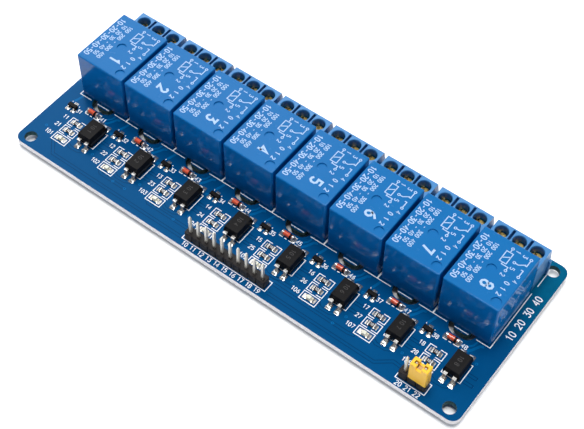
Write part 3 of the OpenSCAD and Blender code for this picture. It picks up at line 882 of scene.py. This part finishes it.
# %% Tracks towards the coils
COPPER_HIGH = top + 0.012
lanes = Form()
for x in channel_x:
    lanes.ribbon(shifted([(4.2, -8.6), (5.0, -7.6), (6.0, -5.6), (6.9, -5.2)], x), 0.7,
                 GAP_LOW, COPPER_HIGH)
    lanes.ribbon(shifted([(-7.7, -7.6), (-7.3, -6.4), (-6.9, -4.9)], x), 0.7, GAP_LOW, COPPER_HIGH)
    lanes.ribbon(shifted([(2.0, -8.0), (3.6, -7.4), (4.6, -6.3), (4.9, -5.0)], x), 0.5,
                 GAP_LOW, COPPER_HIGH)
lanes.piece("tracks_top", track_blue)

# %% [markdown]
# Through the tracks go vias: small plated holes, tented with mask, so that only a faint
# ring shows. The two lanes that dive to the underside end in one each.

# %% Vias
vias = Form()
via_places = [(lands[1] + 5.8, back_lane - 0.2), (lands[1] + 9.8, back_lane - 0.2),
              (lands[2] + 9.6, back_lane), (lands[6] - 6.0, back_lane - 0.2)]
via_places += [(x + along, y) for x in channel_x for along, y in ((7.9, -10.2), (-7.9, -18.4))]
for x, y in via_places:
    vias.disc(x, y, 0.42, GAP_LOW, top + 0.015, hole=0.17, steps=16)
vias.piece("via_rings_top", track_blue)


# %% [markdown]
# ## Solder on the top side
#
# The small parts are soldered with paste. Under heat it wets the pad and climbs the
# part's end, so its surface is a hollow curve: steep at the metal, flat at the pad's rim.
# That is what the formula says. The height falls with the square of the distance from
# the metal's foot, and a thin even film covers the rest of the pad.

# %% Pads and fillets
FILM = 0.03


def joint(form, low, high, margin, climb, ways=(1, 1, 1, 1)):
    """Solder round the foot of a lead, which is a box. The margin is how far it runs out.

    The four ways say how far it does so to the left, right, front and back.
    """
    left, right_side = low[0] - margin * ways[0], high[0] + margin * ways[1]
    front, rear = low[1] - margin * ways[2], high[1] + margin * ways[3]

    def height(x, y):
        away = math.hypot(max(low[0] - x, x - high[0], 0), max(low[1] - y, y - high[1], 0))
        return top + FILM + climb * max(0, 1 - away / margin) ** 2
    form.patch((left + right_side) / 2, (front + rear) / 2, right_side - left, rear - front, height)


chips = Form()
end_length = 0.35
for row in resistor_rows:
    for low_x, high_x, ways in ((chip_low.x, chip_low.x + end_length, (1, 0.3, 0.12, 0.12)),
                                (chip_high.x - end_length, chip_high.x, (0.3, 1, 0.12, 0.12))):
        for x in channel_x:
            joint(chips, (x + low_x, row - chip_depth / 2), (x + high_x, row + chip_depth / 2),
                  0.75, 0.3, ways)
chips.piece("solder_resistors", solder, "solder")

lights = Form()
for x in channel_x:
    for low_x, high_x, ways in ((led_low.x, led_low.x + 0.25, (1, 0.3, 0.15, 0.15)),
                                (led_high.x - 0.25, led_high.x, (0.3, 1, 0.15, 0.15))):
        joint(lights, (x + low_x, led_low.y), (x + high_x, led_high.y), 0.85, 0.22, ways)
lights.piece("solder_indicators", solder, "solder")

# %% [markdown]
# Gull-wing feet get the same joint, with a small heel of solder behind the foot. The
# feet's places follow from the box of the leads: the outermost ones touch its faces.

# %% Joints on leads
opto_lead_low, opto_lead_high = one_of("optocoupler_leads")
opto_x = (opto_low.x + opto_high.x) / 2
foot_length, foot_width, foot_off = 1.0, 1.0, 1.27
wings = Form()
for x in channel_x:
    for off in (-foot_off, foot_off):
        for low_y, high_y, ways in (
                (opto_lead_low.y, opto_lead_low.y + foot_length, (0.35, 0.35, 0.8, 0.45)),
                (opto_lead_high.y - foot_length, opto_lead_high.y, (0.35, 0.35, 0.45, 0.8))):
            joint(wings, (x + opto_x + off - foot_width / 2, low_y),
                  (x + opto_x + off + foot_width / 2, high_y), 0.7, 0.3, ways)
wings.piece("solder_optocouplers", solder, "solder")

tran_lead_low, tran_lead_high = one_of("transistor_leads")
foot_length, foot_width, foot_off = 0.5, 0.42, 0.95
legs = Form()
for x in channel_x:
    for off, low_y, high_y in ((0, tran_lead_high.y - foot_length, tran_lead_high.y),
                               (-foot_off, tran_lead_low.y, tran_lead_low.y + foot_length),
                               (foot_off, tran_lead_low.y, tran_lead_low.y + foot_length)):
        joint(legs, (x + tran_x + off - foot_width / 2, low_y),
              (x + tran_x + off + foot_width / 2, high_y), 0.4, 0.16)
legs.piece("solder_transistors", solder, "solder")

ends = Form()
cap_length = 0.45
for x in channel_x:
    for low_x, high_x, ways in ((cap_low.x, cap_low.x + cap_length, (1, 0.4, 0.5, 0.5)),
                                (cap_high.x - cap_length, cap_high.x, (0.4, 1, 0.5, 0.5))):
        joint(ends, (x + low_x, cap_low.y + 0.3), (x + high_x, cap_high.y - 0.3), 0.7, 0.35, ways)
ends.piece("solder_diodes", solder, "solder")

# %% [markdown]
# ## The underside
#
# Wave soldering leaves a shiny cone on every pin, and each cone sits on a ring of
# copper. The heavy currents of the contacts run here, in tracks three millimetres wide
# that are partly left bare and thickened with solder. The coil's and the header's tracks
# are thin and under the mask.

# %% Rings and heavy tracks below
BELOW, RING_DEEP, TRACK_DEEP = board_low.z, 0.04, 0.03
rings = Form()
relay_pins = [(0, -1.6), (-6, 0.4), (6, 0.4), (-6, 12.6), (6, 12.6)]
for x in channel_x:
    for pin_x, pin_y in relay_pins + [(off, well_y) for off in (-pole_step, 0, pole_step)]:
        rings.disc(x + pin_x, pin_y, 1.35, BELOW - RING_DEEP, BELOW + SUNK, steps=28)
for strip in HEADERS:
    for x, y in pins_of(strip):
        rings.disc(x, y, 0.95, BELOW - RING_DEEP, BELOW + SUNK, steps=20)
rings.piece("pad_rings_below", solder, "solder")

heavy = Form()
for x in channel_x:
    for side in (-1, 1):
        heavy.ribbon([(x + side * 6, 12.6), (x + side * 6, 15.4), (x + side * pole_step, 17),
                      (x + side * pole_step, well_y)], 3.2, BELOW - TRACK_DEEP, BELOW + SUNK, 0.05)
    heavy.ribbon([(x, -1.6), (x, well_y)], 2.6, BELOW - TRACK_DEEP, BELOW + SUNK, 0.05)
heavy.piece("heavy_tracks_below", track_blue)


# %% [markdown]
# ## Print on the relays
#
# A relay's cover carries pad-printed rows along one side and signs along the other. Here
# the rows are plain numbers and the signs are a wiring sketch: a coil, a changeover
# contact and a small ring for each of the five leads. It reads from the terminals
# towards the front, so its up is the board's right. The two round marks that ejector
# pins left in the cover are kept free.

# %% Relay print
case_low, case_high = corners("relay_case_1")
case_top = case_high.z
case_y = (case_low.y + case_high.y) / 2
PRINT_DEEP = 0.012
PRINT_LOW, PRINT_HIGH = case_top - SUNK, case_top + PRINT_DEEP
FIRST_ROW, SECOND_ROW, THIRD_ROW = -6.2, -4.3, -2.7

sketch = [
    [(0.2, 2.9), (2.0, 2.9), (2.0, 6.3), (0.2, 6.3), (0.2, 2.9)],
    [(1.1, 6.3), (1.1, 7.2)], [(1.1, 2.9), (1.1, 2.3), (2.9, 2.3), (2.9, 1.6)],
    [(0.2, 4.0), (2.0, 5.2)],
    [(6.3, 7.0), (6.3, 5.2), (5.7, 5.2)], [(6.3, 1.8), (6.3, 3.6), (5.7, 3.6)],
    [(3.8, 4.4), (4.5, 4.4), (6.0, 5.5)],
]
rings_at = [(1.1, 7.6), (2.9, 1.2), (6.3, 7.4), (6.3, 1.4), (3.4, 4.4)]
lead_numbers = [("1", 2.6, 7.6), ("2", 2.9, -0.2), ("3", 4.7, 7.4), ("4", 6.3, -0.2),
                ("5", 3.9, 2.6)]

for i, centre in zip(CHANNELS, channel_x):
    cover = Form()
    for text, row, height, weight in (("10-20-30-40-50", FIRST_ROW, 1.45, 0.27),
                                      ("10 20 30 - 40 50", SECOND_ROW, 1.05, 0.2),
                                      ("100 200 - 300 400", THIRD_ROW, 1.05, 0.2)):
        number(cover, text, centre + row, case_y, height, weight, PRINT_LOW, PRINT_HIGH, -90)
    for path in sketch:
        cover.ribbon(shifted(path, centre, case_y), 0.26, PRINT_LOW, PRINT_HIGH)
    for x, y in rings_at:
        cover.disc(centre + x, case_y + y, 0.42, PRINT_LOW, PRINT_HIGH, hole=0.2, steps=20)
    for text, x, y in lead_numbers:
        number(cover, text, centre + x, case_y + y, 1.1, 0.2, PRINT_LOW, PRINT_HIGH, -90)
    number(cover, str(i), centre + 1.4, case_y - 4.7, 3.0, 0.6, PRINT_LOW, PRINT_HIGH, -90)
    number(cover, "0 1 2", centre + 5.0, case_y - 3.5, 1.2, 0.24, PRINT_LOW, PRINT_HIGH, -90)
    cover.piece(f"relay_print_{i}", relay_ink)

# %% [markdown]
# On one side of every cover stands a stamped row, in less ink than the print on top.
# Here it's three plain numbers.

# %% Stamps on the relays' sides
for i, centre in zip(CHANNELS, channel_x):
    stamp = Form()
    number(stamp, "10 20 30", case_y - 0.2, board_high.z + 8.2, 2.3, 0.26, -SUNK, PRINT_DEEP)
    stamp.stood_up(centre + relay_high.x).piece(f"relay_stamp_{i}", stamp_ink)

# %% [markdown]
# ## Marks on the small parts
#
# A resistor's value is printed white on its glaze, and an optocoupler's type is burnt
# into its resin by a laser, which only turns it a warmer grey. Both are plain numbers.
# The diode's cathode is told by a black ring painted round its glass.

# %% Small marks
chip_marks, burnt = Form(), Form()
chip_x = (chip_low.x + chip_high.x) / 2
opto_y = (opto_low.y + opto_high.y) / 2
for i, x in zip(CHANNELS, channel_x):
    for row in resistor_rows:
        number(chip_marks, "10", x + chip_x, row, 0.62, 0.09,
               chip_high.z - 0.04, chip_high.z - 0.01)
    for text, off in (("10", 0.9), (str(i), -0.9)):
        number(burnt, text, x + opto_x, opto_y + off, 1.1, 0.14,
               opto_high.z - SUNK, opto_high.z + 0.006, -90)
chip_marks.piece("resistor_numbers", board_ink)
burnt.piece("optocoupler_numbers", etching)

tube = (diode_high.z - diode_low.z) / 2
tube_x, tube_y, tube_z = (diode_low + diode_high) / 2
cathode = Form()
for x in channel_x:
    cathode.turned([(0.5, tube - 0.05), (0.52, tube + 0.012), (1.18, tube + 0.012),
                    (1.2, tube - 0.05)], x + tube_x, tube_y, tube_z, 32)
cathode.piece("diode_bands", moulding_black, "moulding_black")

# %% [markdown]
# ## Through holes on the top side
#
# Both headers stand in plated holes. On the top their solder shows as a thin bright
# collar round each pin's hole, where the strip's foot is narrower than the ring.

# %% Collars
collars = Form()
for strip in HEADERS:
    for x, y in pins_of(strip):
        collars.disc(x, y, 0.9, top - SUNK, top + 0.02, hole=0.5, steps=20)
collars.piece("header_collars", solder, "solder")


# %% [markdown]
# ## The solids get their finishes
#
# Each solid keeps its own shape. Its finish follows its material slot in model.glb, so
# that one table holds them all. Moulded and cut edges on the real parts are never
# perfectly sharp: a bevel of a tenth of a millimetre or so catches the light along them.
# The solids come in with every face cut loose from its neighbours, so a Weld has to join
# them before the Bevel can see an edge.

# %% Finishes and soft edges
FINISHES = {
    "board_blue": laminate, "relay_blue": relay_blue, "terminal_blue": terminal_blue,
    "relay_base": relay_base, "bobbin": bobbin, "winding_copper": winding_copper,
    "relay_iron": relay_iron, "contact_bronze": contact_bronze,
    "tinned_lead": tinned_lead, "terminal_brass": terminal_brass,
    "moulding_black": moulding_black, "diode_glass": diode_glass,
    "resistor_glaze": resistor_glaze, "led_body": led_body, "led_lens": led_lens,
    "header_black": header_black, "header_pin": header_pin,
    "jumper_yellow": jumper_yellow, "solder": solder,
}
SOFT_EDGES = {
    "relay_case": 0.18, "terminal_housing": 0.14, "optocoupler_bodies": 0.12,
    "transistor_bodies": 0.08, "jumper_housing": 0.12, "input_header_strip": 0.12,
    "power_header_strip": 0.12, "led_bodies": 0.05, "resistor_chips": 0.05,
    "resistor_terminations": 0.06, "terminal_screws": 0.1, "led_lenses": 0.08,
}


def soften(solid, width):
    """Rounds a solid's sharp edges by so many millimetres, for the eye alone."""
    weld = solid.modifiers.new("join faces", "WELD")
    weld.merge_threshold = 0.001 * MM
    bevel = solid.modifiers.new("soft edges", "BEVEL")
    bevel.width = width * MM
    bevel.segments = 2
    bevel.limit_method = "ANGLE"
    bevel.angle_limit = math.radians(40)
    bevel.harden_normals = True


for name, solid in nodes.items():
    slot_name = solid.data.materials[0].name.split(".")[0]
    solid.data.materials[0] = FINISHES[slot_name].material
    for start, width in SOFT_EDGES.items():
        if name.startswith(start):
            soften(solid, width)
print(f"{len(nodes)} solids finished")
